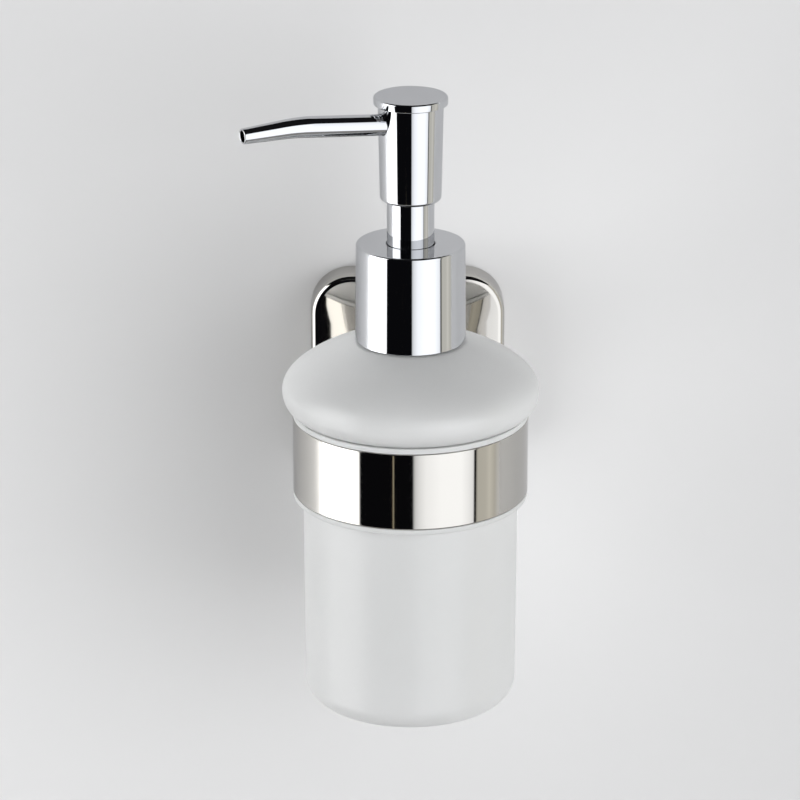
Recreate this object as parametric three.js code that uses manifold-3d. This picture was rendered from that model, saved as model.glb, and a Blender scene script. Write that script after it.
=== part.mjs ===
// Wall mounted soap dispenser: a frosted glass bottle with a lift pump, held in a metal ring on a wall plate.
// Units are millimetres. The origin is the middle of the wall plate's back, on the wall, level with the
// middle of the holder ring. +Z is up, +Y points into the wall, and the bottle stands at -Y.
import * as THREE from "three";
import { mergeVertices } from "three/addons/utils/BufferGeometryUtils.js";
import Module from "manifold-3d";

const wasm = await Module();
wasm.setup();

// ---------------------------------------------------------------- driving dimensions
const GAP = 0.3; // between pieces that touch on the real object
const AXIS_TO_WALL = 82; // bottle axis to wall

const PLATE = { width: 62, height: 65, depth: 12, corner: 13, edge: 2.2, wall: 1.8 };
const BRACKET = { width: 44, height: 48, thickness: 2.6, lip: 6, corner: 5 };
const WALL_SCREW = { spacing: 30, shank: 1.9, hole: 2.4, head: 3.9, headHeight: 2.6, length: 29, point: 3 };
const PLUG = { outer: 3, inner: 2.2, collar: 0.6, length: 30, slot: 0.8, slotStart: 8 };
const SET_SCREW = { radius: 2, hole: 2.3, depth: 6.5, socket: 1.2 };

const ARM = { width: 24, height: 20, corner: 4 };
const ARM_SCREW = { shank: 2.5, hole: 2.8, head: 4.5, headHeight: 2.9, engagement: 10 };
const RING_SCREW = { shank: 1.6, hole: 1.9, head: 3, engagement: 3.8, offset: 6 };

const RING = { outer: 35.9, inner: 34.4, half: 12 };
const LINER = { inner: 33.25, outer: 34.1, lip: 35.8, lipHeight: 1.2 };

const BOTTLE = {
  bottom: -80.4,
  bodyLow: 32.45, // outer radius just above the base corner
  bodyHigh: 32.95, // outer radius inside the holder ring
  base: 7, // radius of the base corner
  rim: 39, // widest radius, at the shoulder's edge
  rimHeight: 20.4,
  wall: 2.8,
  floor: 5.5,
  neckRoot: 12.6,
  neckBore: 10.2,
  neckTop: 58.6,
};
const THREAD = { crest: 13.6, pitch: 4.2, turns: 1.5, low: 46.5, width: 1.6 };

const COLLAR = {
  top: 66.6,
  bottom: 36.3,
  high: 16.5, // outer radius under the top edge
  low: 16.75, // outer radius at the bottom
  wall: 0.9,
  roof: 1.2,
  hole: 7.4,
  bevel: 0.7,
};
const SLEEVE = { outer: 7.15, inner: 6.5, top: 87.1 };
const GASKET = { outer: 13.2, inner: 10.4, height: 1.2 };
const FLANGE = { radius: 13.4, height: 1.4 };

const HOUSING = { outer: 8, inner: 6.6, barrelLow: 22, ledge: 21, neck: 4.4 };
const VALVE = { seatLow: 10.6, seatHigh: 12, roof: 16.2, hole: 1.3, room: 2.6, ball: 1.9, ballHeight: 12.2 };
const SOCKET = { outer: 4, inner: 2.6, bottom: 0, top: 9.8 };
const DIP_TUBE = { outer: 2.3, inner: 1.5, top: 9.4, bottom: -71, cut: 45 };

const GUIDE = { flange: 12, hub: 6.3, bore: 4.4, hubLow: 55.5, chimney: 6.2, chimneyTop: 80.6 };
const STEM = { outer: 4.1, bore: 1.9, top: 100, spigot: 3, shoulder: 54.8, foot: 5.8, footLow: 43.6 };
const PISTON = { outer: 6.3, inner: 3.3, low: 45.3, high: 54.4, waist: 5.2, lip: 1.6 };
const SPRING = { radius: 5, wire: 0.5, turns: 6, low: 22.4, stepsPerTurn: 10 };

const HEAD = {
  bottom: 80.3,
  top: 112.4,
  low: 9.25, // outer radius at the bottom
  high: 9.8, // outer radius under the flange
  flange: 11.15,
  flangeHeight: 2.5,
  edge: 0.5,
  bore: 7.5,
  ceiling: 108.2,
};
const CORE = { plug: 7.2, low: 99.6, high: 107.8, boss: 5.9, bossLow: 93, socket: 4.4, socketTop: 100.4 };
const SPOUT = {
  turn: 205, // degrees about +Z from +X: left and a little towards the front
  rootHeight: 104.35, // centreline height where it leaves the head's axis
  start: 7.9, // distance of the tube's inner end from the axis
  bendAt: 37,
  reach: 54.6,
  rise: 0.1, // slope of the first stretch
  fall: -0.035, // slope of the last stretch
  bendLength: 9,
  root: 3.22,
  tip: 2.35,
  wall: 0.6,
  taperFrom: 0.55, // share of the length after which the tube narrows
  spigot: 2.2,
  spigotEnd: 4.2,
};

// Heights that follow from the stack of pieces on the bottle's neck
const gasketLow = BOTTLE.neckTop + GAP;
const flangeLow = gasketLow + GASKET.height + GAP;
const flangeTop = flangeLow + FLANGE.height;
const guideLow = flangeTop + GAP;
const guideTop = guideLow + 1.2;
const sleeveLow = guideTop + GAP;
const insertRoof = COLLAR.top - COLLAR.roof - GAP;

// ---------------------------------------------------------------- materials
function material(color, roughness, metalness, opacity = 1) {
  return new THREE.MeshStandardMaterial({ color, roughness, metalness, opacity, transparent: opacity < 1 });
}
const chrome = material(0xdfe3e8, 0.06, 1);
const nickel = material(0xdad6cc, 0.08, 1);
const steel = material(0xa9adb0, 0.3, 1);
const zincCasting = material(0x8f9396, 0.45, 1);
const frostedGlass = material(0xd2dad6, 0.5, 0, 0.8);
const clearPlastic = material(0xdfe3e2, 0.3, 0, 0.6);
const whitePlastic = material(0xf0f1ef, 0.4, 0);
const greyPlastic = material(0x9aa0a3, 0.5, 0);
const softSeal = material(0xd8d4cb, 0.7, 0);

// ---------------------------------------------------------------- geometry helpers
// A closed three.js geometry as a solid that can be joined and cut.
function solidOf(geometry) {
  const bare = geometry.clone();
  bare.deleteAttribute("normal");
  bare.deleteAttribute("uv");
  const merged = mergeVertices(bare, 1e-4);
  const mesh = new wasm.Mesh({
    numProp: 3,
    vertProperties: merged.attributes.position.array,
    triVerts: new Uint32Array(merged.index.array),
  });
  return new wasm.Manifold(mesh);
}

function geometryOf(solid) {
  const mesh = solid.getMesh();
  const geometry = new THREE.BufferGeometry();
  geometry.setAttribute("position", new THREE.BufferAttribute(mesh.vertProperties, 3));
  geometry.setIndex(new THREE.BufferAttribute(mesh.triVerts, 1));
  geometry.computeVertexNormals();
  return geometry;
}

function cut(geometry, ...tools) {
  return geometryOf(tools.reduce((solid, tool) => solid.subtract(solidOf(tool)), solidOf(geometry)));
}

// A profile of [radius, height] points turned about the Z axis.
function turned(profile, sides) {
  const outline = profile.map(([r, z]) => new THREE.Vector2(r, z));
  return new THREE.LatheGeometry(outline, sides).rotateX(Math.PI / 2);
}

// The same for a profile that doesn't touch the axis: it closes on its first point.
function turnedRing(profile, sides) {
  return turned([...profile, profile[0]], sides);
}

function tube(outer, inner, low, high, sides) {
  return turnedRing([[inner, low], [outer, low], [outer, high], [inner, high]], sides);
}

function rod(radius, low, high, sides) {
  return turned([[0, low], [radius, low], [radius, high], [0, high]], sides);
}

// Points of a circular arc in a profile, by angle in degrees from the outward direction.
function arc(r, z, radius, from, to, steps) {
  return Array.from({ length: steps + 1 }, (_, i) => {
    const angle = THREE.MathUtils.degToRad(from + ((to - from) * i) / steps);
    return [r + radius * Math.cos(angle), z + radius * Math.sin(angle)];
  });
}

// Points of a cubic curve in a profile.
function cubic(a, b, c, d, steps) {
  const [p0, p1, p2, p3] = [a, b, c, d].map(([r, z]) => new THREE.Vector2(r, z));
  return new THREE.CubicBezierCurve(p0, p1, p2, p3).getPoints(steps).map((p) => [p.x, p.y]);
}

function roundedRectangle(width, height, corner) {
  const x = width / 2;
  const y = height / 2;
  const shape = new THREE.Shape();
  shape.moveTo(-x + corner, -y);
  shape.lineTo(x - corner, -y);
  shape.absarc(x - corner, -y + corner, corner, -Math.PI / 2, 0);
  shape.lineTo(x, y - corner);
  shape.absarc(x - corner, y - corner, corner, 0, Math.PI / 2);
  shape.lineTo(-x + corner, y);
  shape.absarc(-x + corner, y - corner, corner, Math.PI / 2, Math.PI);
  shape.lineTo(-x, -y + corner);
  shape.absarc(-x + corner, -y + corner, corner, Math.PI, Math.PI * 1.5);
  return shape;
}

// A rounded block that stands on the plane y = back and reaches forward, towards -Y, to y = front.
function block(width, height, corner, back, front, steps = 6) {
  const options = { depth: back - front, bevelEnabled: false, curveSegments: steps };
  const geometry = new THREE.ExtrudeGeometry(roundedRectangle(width, height, corner), options);
  return geometry.rotateX(Math.PI / 2).translate(0, back, 0);
}

// A piece modelled along +Z, laid along +Y from the given point.
function alongY(geometry, x, y, z) {
  return geometry.rotateX(-Math.PI / 2).translate(x, y, z);
}

function crossRecess(size, top, depth) {
  const bar = (w, h) => new THREE.BoxGeometry(w, h, depth * 2).translate(0, 0, top);
  return [bar(size, size / 4), bar(size / 4, size)];
}

function part(name, geometry, finish) {
  const mesh = new THREE.Mesh(geometry, finish);
  mesh.name = name;
  return mesh;
}

// ---------------------------------------------------------------- wall plate, bracket and arm
// Hollow rose with a bevelled front; its back is open and covers the bracket.
function plateCover() {
  const { width, height, depth, corner, edge, wall } = PLATE;
  const options = {
    depth: depth * 2 - edge * 2,
    bevelThickness: edge,
    bevelSize: edge,
    bevelOffset: -edge,
    bevelSegments: 3,
    curveSegments: 5,
  };
  const doubled = new THREE.ExtrudeGeometry(roundedRectangle(width, height, corner), options);
  doubled.rotateX(Math.PI / 2).translate(0, depth - edge, 0);
  const behindWall = new THREE.BoxGeometry(width * 2, depth * 2, height * 2).translate(0, depth, 0);
  const hollow = block(width - 2 * wall, height - 2 * wall, corner - wall, 1, -depth + wall + 2);
  const inset = wall + 2;
  const hollowFront = block(width - 2 * inset, height - 2 * inset, corner - inset, 1, -depth + wall);
  const screwHole = alongY(rod(ARM_SCREW.hole, -10, 10, 20), 0, -depth, 0);
  const setScrewHole = rod(SET_SCREW.hole, -height, -BRACKET.height / 2, 16);
  setScrewHole.translate(0, -SET_SCREW.depth, 0);
  return cut(doubled, behindWall, hollow, hollowFront, screwHole, setScrewHole);
}

// Flat steel plate with a lip turned forward at the top and bottom.
function wallBracket() {
  const { width, height, thickness, lip, corner } = BRACKET;
  const plate = solidOf(block(width, height, corner, 0, -thickness, 4));
  const lipDepth = thickness + lip;
  const lips = [1, -1].map((side) =>
    solidOf(
      new THREE.BoxGeometry(width - 4 * corner, lipDepth, thickness)
        .translate(0, -lipDepth / 2, side * (height / 2 - thickness / 2)),
    ),
  );
  const joined = lips.reduce((sum, piece) => sum.add(piece), plate);
  const holes = [1, -1].map((side) =>
    solidOf(alongY(rod(WALL_SCREW.hole, -10, 10, 16), 0, 0, (side * WALL_SCREW.spacing) / 2)),
  );
  return geometryOf(holes.reduce((rest, hole) => rest.subtract(hole), joined));
}

function wallScrew() {
  const { shank, head, headHeight, length, point } = WALL_SCREW;
  const crown = arc(head - 1, -headHeight + 1, 1, -90, 0, 2);
  const outline = [[0, -headHeight], ...crown, [head, 0], [shank, 0], [shank, length], [0, length + point]];
  return cut(turned(outline, 12), ...crossRecess(4, -headHeight, 1.4));
}

function wallPlug() {
  const { outer, inner, collar, length, slot, slotStart } = PLUG;
  const body = turnedRing(
    [[inner, 0], [outer + collar, 0], [outer + collar, 0.8], [outer, 0.8], [outer, length], [inner, length]],
    12,
  );
  const slotCut = new THREE.BoxGeometry(outer * 3, slot, length).translate(0, 0, slotStart + length / 2);
  return cut(body, slotCut);
}

function setScrew() {
  const low = -PLATE.height / 2 + 0.4;
  const high = -BRACKET.height / 2 - GAP;
  const key = new THREE.CylinderGeometry(SET_SCREW.socket, SET_SCREW.socket, 4, 6).rotateX(Math.PI / 2);
  const pin = cut(rod(SET_SCREW.radius, low, high, 16), key.translate(0, 0, low));
  return pin.translate(0, -SET_SCREW.depth, 0);
}

// Short block between the plate and the ring, hollowed to the ring's curve and bored for its screws.
function holderArm() {
  const back = -PLATE.depth - GAP;
  const body = block(ARM.width, ARM.height, ARM.corner, back, -AXIS_TO_WALL + RING.outer - 4, 4);
  const ringSpace = rod(RING.outer + GAP, -ARM.height, ARM.height, 60).translate(0, -AXIS_TO_WALL, 0);
  const rearBore = alongY(rod(ARM_SCREW.hole, -ARM_SCREW.engagement - 0.5, 5, 16), 0, back, 0);
  const ringFace = -AXIS_TO_WALL + RING.outer;
  const frontBores = [1, -1].map((side) =>
    alongY(rod(RING_SCREW.hole, -5, RING_SCREW.engagement, 12), 0, ringFace, side * RING_SCREW.offset),
  );
  return cut(body, ringSpace, rearBore, ...frontBores);
}

function armScrew() {
  const { shank, head, headHeight, engagement } = ARM_SCREW;
  const length = PLATE.wall + 2 * GAP + engagement;
  const body = turned(
    [[0, -length], [shank, -length], [shank, 0], [head, 0], [head, headHeight], [0, headHeight]],
    16,
  );
  const key = new THREE.CylinderGeometry(2, 2, 4, 6).rotateX(Math.PI / 2).translate(0, 0, headHeight);
  return alongY(cut(body, key), 0, -PLATE.depth + PLATE.wall + GAP, 0);
}

// Countersunk screw, flush with the ring's inside and driven outwards into the arm.
function ringScrew(height) {
  const { shank, head, engagement } = RING_SCREW;
  const inside = RING.inner + 0.1;
  const sink = head - shank;
  const end = RING.outer + engagement - GAP;
  const body = turned([[0, inside], [head, inside], [shank, inside + sink], [shank, end], [0, end]], 16);
  const recess = crossRecess(2.6, inside, 0.7);
  return alongY(cut(body, ...recess), 0, -AXIS_TO_WALL, height);
}

// ---------------------------------------------------------------- ring and liner
function holderRing() {
  const { outer, inner, half } = RING;
  const edge = 0.3;
  const band = turnedRing(
    [
      [inner, -half],
      [outer - edge, -half],
      [outer, -half + edge],
      [outer, half - edge],
      [outer - edge, half],
      [inner, half],
    ],
    48,
  );
  const { shank, head, hole, offset } = RING_SCREW;
  const sink = head - shank;
  const sunkHoles = [1, -1].map((side) =>
    turned(
      [
        [0, inner - 1],
        [head + GAP + 1, inner - 1],
        [hole, inner + sink + 0.1],
        [hole, outer + 1],
        [0, outer + 1],
      ],
      16,
    )
      .rotateX(-Math.PI / 2)
      .translate(0, 0, side * offset),
  );
  return cut(band, ...sunkHoles);
}

// Thin plastic insert with a lip over the ring's upper edge and another under its lower edge.
function ringLiner() {
  const { inner, outer, lip, lipHeight } = LINER;
  const near = RING.half + GAP;
  const far = near + lipHeight;
  return turnedRing(
    [
      [inner, -far],
      [lip - 0.4, -far],
      [lip, -far + 0.4],
      [lip, -near],
      [outer, -near],
      [outer, near],
      [lip, near],
      [lip, far - 0.4],
      [lip - 0.4, far],
      [inner, far],
    ],
    48,
  );
}

// ---------------------------------------------------------------- bottle
function bottleProfile() {
  const { bottom, bodyLow, bodyHigh, base, rim, rimHeight } = BOTTLE;
  const { wall, floor, neckRoot, neckBore, neckTop } = BOTTLE;
  const seat = RING.half + GAP + LINER.lipHeight + GAP;
  const outside = [
    [0, bottom + 1],
    [bodyLow - base - 3, bottom + 0.8],
    ...arc(bodyLow - base, bottom + base, base, -90, 0, 4),
    [bodyHigh, seat - 0.4],
    [bodyHigh + 1, seat],
    ...cubic([rim - 4, seat + 0.2], [rim - 1.2, seat + 1], [rim, rimHeight - 3], [rim, rimHeight], 3),
    ...cubic([rim, rimHeight], [rim, rimHeight + 6.5], [26, 32.4], [17, 35.9], 7).slice(1),
    [neckRoot + 1, 35.9],
    [neckRoot, 36.9],
    [neckRoot, neckTop - 0.5],
    [neckRoot - 0.5, neckTop],
  ];
  const inside = [
    [neckBore, neckTop],
    [neckBore, 36.5],
    [neckBore + 1.4, 34.2],
    ...cubic([16, 32.8], [24.5, 29.6], [rim - wall, rimHeight + 5.4], [rim - wall, rimHeight], 5),
    [rim - wall - 1.2, rimHeight - 2.8],
    [bodyHigh - wall, seat],
    ...arc(bodyLow - wall - 4, bottom + floor + 4, 4, 0, -90, 3),
    [0, bottom + floor],
  ];
  return [...outside, ...inside];
}

// Helical ridge that the closure screws onto; it tapers into the neck at both ends.
function threadRidge() {
  const { crest, pitch, turns, low, width } = THREAD;
  const stepsPerTurn = 16;
  const root = BOTTLE.neckRoot - 0.6;
  const segments = Math.round(turns * stepsPerTurn);
  const position = [];
  const index = [];
  for (let i = 0; i <= segments; i += 1) {
    const angle = (i / stepsPerTurn) * 2 * Math.PI;
    const height = low + (pitch * i) / stepsPerTurn;
    const lead = Math.min(1, i / 3, (segments - i) / 3);
    const tip = root + 0.2 + (crest - root - 0.2) * lead;
    const corners = [[root, -width], [tip, -width * 0.35], [tip, width * 0.35], [root, width]];
    corners.forEach(([r, dz]) => position.push(r * Math.cos(angle), r * Math.sin(angle), height + dz));
  }
  for (let i = 0; i < segments; i += 1) {
    for (let k = 0; k < 4; k += 1) {
      const a = i * 4 + k;
      const b = i * 4 + ((k + 1) % 4);
      index.push(a, a + 4, b, b, a + 4, b + 4);
    }
  }
  const last = segments * 4;
  index.push(0, 1, 2, 0, 2, 3, last, last + 2, last + 1, last, last + 3, last + 2);
  const geometry = new THREE.BufferGeometry();
  geometry.setAttribute("position", new THREE.Float32BufferAttribute(position, 3));
  geometry.setIndex(index);
  return geometry;
}

function bottle() {
  return geometryOf(solidOf(turned(bottleProfile(), 48)).add(solidOf(threadRidge())));
}

// ---------------------------------------------------------------- closure
function collar() {
  const { top, bottom, high, low, wall, roof, hole, bevel } = COLLAR;
  return turnedRing(
    [
      [hole, top - roof],
      [high - wall, top - roof],
      [low - wall, bottom],
      [low, bottom],
      [high, top - bevel],
      [high - 0.2, top - 0.2],
      [high - bevel, top],
      [hole, top],
    ],
    44,
  );
}

function closureInsert() {
  const outer = COLLAR.high - COLLAR.wall - GAP;
  const bore = THREAD.crest + 0.5;
  const low = COLLAR.bottom + 1.5;
  const hole = SLEEVE.outer + 0.5;
  return turnedRing(
    [
      [bore, low],
      [outer, low],
      [outer, insertRoof],
      [hole, insertRoof],
      [hole, sleeveLow],
      [bore, sleeveLow],
    ],
    36,
  );
}

const neckGasket = () => tube(GASKET.outer, GASKET.inner, gasketLow, gasketLow + GASKET.height, 32);
const guideSleeve = () => tube(SLEEVE.outer, SLEEVE.inner, sleeveLow, SLEEVE.top, 36);

// ---------------------------------------------------------------- pump
// Barrel, valve chamber and dip tube socket in one moulding, hung from its flange on the neck.
function pumpHousing() {
  return turnedRing(
    [
      [SOCKET.inner, SOCKET.bottom],
      [SOCKET.outer, SOCKET.bottom],
      [HOUSING.neck, SOCKET.top],
      [HOUSING.neck, VALVE.roof],
      [HOUSING.outer, HOUSING.ledge],
      [HOUSING.outer, flangeLow],
      [FLANGE.radius, flangeLow],
      [FLANGE.radius, flangeTop],
      [HOUSING.inner, flangeTop],
      [HOUSING.inner, HOUSING.barrelLow],
      [VALVE.ball - 0.4, VALVE.roof + 1],
      [VALVE.ball - 0.4, VALVE.roof],
      [VALVE.room, VALVE.roof],
      [VALVE.room, VALVE.seatHigh],
      [VALVE.hole, VALVE.seatLow],
      [VALVE.hole, SOCKET.top],
      [SOCKET.inner, SOCKET.top],
    ],
    28,
  );
}

const inletBall = () => new THREE.SphereGeometry(VALVE.ball, 14, 10).translate(0, 0, VALVE.ballHeight);

function dipTube() {
  const { outer, inner, top, bottom, cut: slant } = DIP_TUBE;
  const knife = new THREE.BoxGeometry(20, 20, 20).translate(0, 0, -10);
  knife.rotateY(THREE.MathUtils.degToRad(slant)).translate(0, 0, bottom + outer);
  return cut(tube(outer, inner, bottom, top, 14), knife);
}

// Closes the barrel, guides the stem and carries the sleeve on its chimney.
function guideNut() {
  return turnedRing(
    [
      [GUIDE.bore, GUIDE.hubLow],
      [GUIDE.hub, GUIDE.hubLow],
      [GUIDE.hub, guideLow],
      [GUIDE.flange, guideLow],
      [GUIDE.flange, guideTop],
      [GUIDE.chimney, guideTop],
      [GUIDE.chimney, GUIDE.chimneyTop],
      [GUIDE.bore, GUIDE.chimneyTop],
    ],
    28,
  );
}

function pumpStem() {
  return turnedRing(
    [
      [STEM.bore, STEM.footLow],
      [STEM.foot, STEM.footLow],
      [STEM.foot, PISTON.low - GAP],
      [STEM.spigot, PISTON.low - GAP],
      [STEM.spigot, STEM.shoulder],
      [STEM.outer, STEM.shoulder],
      [STEM.outer, STEM.top],
      [STEM.bore, STEM.top],
    ],
    22,
  );
}

function pistonSeal() {
  const { outer, inner, low, high, waist, lip } = PISTON;
  return turnedRing(
    [
      [inner, low + lip],
      [outer - 0.7, low],
      [outer, low],
      [outer, low + lip],
      [waist, low + 2 * lip],
      [waist, high - 2 * lip],
      [outer, high - lip],
      [outer, high],
      [outer - 0.7, high],
      [inner, high - lip],
    ],
    24,
  );
}

function returnSpring() {
  const { radius, wire, turns, low, stepsPerTurn } = SPRING;
  const rise = STEM.footLow - GAP - low - 2 * wire;
  const steps = turns * stepsPerTurn;
  const points = Array.from({ length: steps + 1 }, (_, i) => {
    const angle = (i / stepsPerTurn) * 2 * Math.PI;
    const height = low + wire + (rise * i) / steps;
    return new THREE.Vector3(radius * Math.cos(angle), radius * Math.sin(angle), height);
  });
  const section = new THREE.Shape(
    Array.from({ length: 6 }, (_, i) => {
      const angle = (i / 6) * 2 * Math.PI;
      return new THREE.Vector2(wire * Math.cos(angle), wire * Math.sin(angle));
    }),
  );
  const path = new THREE.CatmullRomCurve3(points);
  return new THREE.ExtrudeGeometry(section, { steps, extrudePath: path, bevelEnabled: false });
}

// ---------------------------------------------------------------- head and spout
// The head's own frame: the spout leaves along +X.
const spoutLine = new THREE.Vector3(1, 0, SPOUT.rise).normalize();

function alongSpout(geometry) {
  const turn = new THREE.Quaternion().setFromUnitVectors(new THREE.Vector3(0, 0, 1), spoutLine);
  const axisHeight = SPOUT.rootHeight - SPOUT.rise * SPOUT.start;
  return geometry.applyQuaternion(turn).translate(0, 0, axisHeight);
}

function pumpHead() {
  const { bottom, top, low, high, flange, flangeHeight, edge, bore, ceiling } = HEAD;
  const shell = turned(
    [
      [0, ceiling],
      [bore, ceiling],
      [bore, bottom + 0.4],
      [bore + 0.4, bottom],
      ...arc(low - 1.1, bottom + 1.6, 1.1, -60, 0, 2).map(([r, z]) => [r, z - 0.4]),
      [high, top - flangeHeight - edge],
      [high + edge, top - flangeHeight],
      [flange - edge / 2, top - flangeHeight],
      [flange, top - flangeHeight + edge / 2],
      [flange, top - edge],
      [flange - edge, top],
      [0, top],
    ],
    40,
  );
  return cut(shell, alongSpout(rod(SPOUT.root + 0.25, 5, 15, 20)));
}

// Plug that grips the stem from above and turns its flow into the spout.
function headCore() {
  const body = turnedRing(
    [
      [CORE.socket, CORE.bossLow],
      [CORE.boss, CORE.bossLow],
      [CORE.boss, CORE.low],
      [CORE.plug, CORE.low],
      [CORE.plug, CORE.high],
      [STEM.bore, CORE.high],
      [STEM.bore, CORE.socketTop],
      [CORE.socket, CORE.socketTop],
    ],
    28,
  );
  return cut(body, alongSpout(rod(SPOUT.spigot + GAP, 0, 12, 16)));
}

// Centreline of the spout: a straight rise, a soft bend and an almost level end.
function spoutCurve() {
  const { start, rootHeight, bendAt, reach, rise, fall, bendLength } = SPOUT;
  const bendHeight = rootHeight + rise * (bendAt - start);
  const from = (x, slope) => new THREE.Vector3(x, 0, bendHeight + slope * (x - bendAt));
  const bendIn = from(bendAt - bendLength, rise);
  const bendOut = from(bendAt + bendLength, fall);
  const path = new THREE.CurvePath();
  path.add(new THREE.LineCurve3(from(start, rise), bendIn));
  path.add(new THREE.QuadraticBezierCurve3(bendIn, from(bendAt, rise), bendOut));
  path.add(new THREE.LineCurve3(bendOut, from(reach, fall)));
  return path;
}

// A hollow, tapering tube is turned straight along +Z and then laid along the curve.
function spout() {
  const { root, tip, wall, taperFrom, spigot, spigotEnd, start } = SPOUT;
  const path = spoutCurve();
  const length = path.getLength();
  const steps = 12;
  const taperShare = (share) => Math.max(0, (share - taperFrom) / (1 - taperFrom));
  const radiusAt = (share) => THREE.MathUtils.lerp(root, tip, taperShare(share));
  const shares = Array.from({ length: steps + 1 }, (_, i) => i / steps);
  const outside = shares.map((s) => [radiusAt(s), s * length]);
  const inside = shares.map((s) => [radiusAt(s) - wall, s * length]).reverse();
  const neck = spigotEnd - start;
  const profile = [[spigot - wall, neck], [spigot, neck], [spigot, -0.4], ...outside, ...inside.slice(0, -1)];
  const geometry = turnedRing([...profile, [root - wall, 1.5], [spigot - wall, 1]], 14);
  const position = geometry.getAttribute("position");
  const side = new THREE.Vector3(0, 1, 0);
  for (let i = 0; i < position.count; i += 1) {
    const along = position.getZ(i);
    const share = THREE.MathUtils.clamp(along / length, 0, 1);
    const tangent = path.getTangentAt(share);
    const up = new THREE.Vector3().crossVectors(tangent, side);
    const point = path
      .getPointAt(share)
      .addScaledVector(tangent, along - share * length)
      .addScaledVector(up, -position.getX(i))
      .addScaledVector(side, position.getY(i));
    position.setXYZ(i, point.x, point.y, point.z);
  }
  return geometry;
}

// ---------------------------------------------------------------- assembly
const dispenser = new THREE.Group();

const wallSide = new THREE.Group();
wallSide.add(
  part("plate_cover", plateCover(), nickel),
  part("wall_bracket", wallBracket(), zincCasting),
  part("set_screw", setScrew(), steel),
  part("holder_arm", holderArm(), nickel),
  part("arm_screw", armScrew(), steel),
);
for (const [place, side] of [["upper", 1], ["lower", -1]]) {
  const height = (side * WALL_SCREW.spacing) / 2;
  const screw = part("wall_screw_" + place, alongY(wallScrew(), 0, -BRACKET.thickness - GAP, height), steel);
  const plug = part("wall_plug_" + place, alongY(wallPlug(), 0, GAP, height), greyPlastic);
  const clamp = part("ring_screw_" + place, ringScrew(side * RING_SCREW.offset), steel);
  wallSide.add(screw, plug, clamp);
}
dispenser.add(wallSide);

const bottleAxis = new THREE.Group();
bottleAxis.position.y = -AXIS_TO_WALL;
bottleAxis.add(
  part("holder_ring", holderRing(), nickel),
  part("ring_liner", ringLiner(), clearPlastic),
  part("bottle", bottle(), frostedGlass),
  part("collar", collar(), chrome),
  part("closure_insert", closureInsert(), whitePlastic),
  part("neck_gasket", neckGasket(), softSeal),
  part("guide_sleeve", guideSleeve(), chrome),
  part("pump_housing", pumpHousing(), whitePlastic),
  part("guide_nut", guideNut(), whitePlastic),
  part("inlet_ball", inletBall(), steel),
  part("dip_tube", dipTube(), clearPlastic),
  part("pump_stem", pumpStem(), whitePlastic),
  part("piston_seal", pistonSeal(), softSeal),
  part("return_spring", returnSpring(), steel),
);
dispenser.add(bottleAxis);

const head = new THREE.Group();
head.rotation.z = THREE.MathUtils.degToRad(SPOUT.turn);
head.add(
  part("pump_head", pumpHead(), chrome),
  part("head_core", headCore(), whitePlastic),
  part("spout", spout(), chrome),
);
bottleAxis.add(head);

export default dispenser;
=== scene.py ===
"""The looks of the wall mounted soap dispenser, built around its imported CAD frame.

Profiles and small details are in millimetres; MM turns them into Blender's metres.
"""
import math

import bpy
from mathutils import Matrix, Vector


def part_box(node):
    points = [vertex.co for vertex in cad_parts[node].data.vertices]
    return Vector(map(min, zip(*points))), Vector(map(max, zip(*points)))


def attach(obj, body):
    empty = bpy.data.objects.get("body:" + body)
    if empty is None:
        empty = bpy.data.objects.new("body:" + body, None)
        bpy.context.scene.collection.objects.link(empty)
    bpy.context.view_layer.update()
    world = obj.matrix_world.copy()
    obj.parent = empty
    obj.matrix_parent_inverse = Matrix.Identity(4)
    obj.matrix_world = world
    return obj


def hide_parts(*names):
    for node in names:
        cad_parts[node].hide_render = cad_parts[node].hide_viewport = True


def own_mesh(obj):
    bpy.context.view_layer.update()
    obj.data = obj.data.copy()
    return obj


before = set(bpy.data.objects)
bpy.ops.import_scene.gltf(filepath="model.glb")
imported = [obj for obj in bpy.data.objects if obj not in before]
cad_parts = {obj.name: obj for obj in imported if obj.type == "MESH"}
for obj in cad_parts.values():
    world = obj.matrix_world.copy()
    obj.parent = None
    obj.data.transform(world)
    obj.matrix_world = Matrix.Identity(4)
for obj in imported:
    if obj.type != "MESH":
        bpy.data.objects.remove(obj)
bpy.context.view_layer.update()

MM = 0.001


# ---------- sizes from the frame
class Extent:
    """Size and place of a round CAD node, in millimetres, about the bottle's axis."""

    def __init__(self, node):
        low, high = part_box(node)
        self.radius = (high.x - low.x) / 2 / MM
        self.low = low.z / MM
        self.high = high.z / MM
        self.centre = (low + high) / 2  # in metres


RING = Extent("holder_ring")
LINER = Extent("ring_liner")
BOTTLE = Extent("bottle")
COLLAR = Extent("collar")
INSERT = Extent("closure_insert")
SLEEVE = Extent("guide_sleeve")
HEAD = Extent("pump_head")
GASKET = Extent("neck_gasket")
HOUSING = Extent("pump_housing")
GUIDE = Extent("guide_nut")
STEM = Extent("pump_stem")
PISTON = Extent("piston_seal")
CORE = Extent("head_core")
SPRING = Extent("return_spring")
BALL = Extent("inlet_ball")
TUBE = Extent("dip_tube")
AXIS = Vector((RING.centre.x, RING.centre.y, 0))  # the bottle's upright axis, in metres

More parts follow.
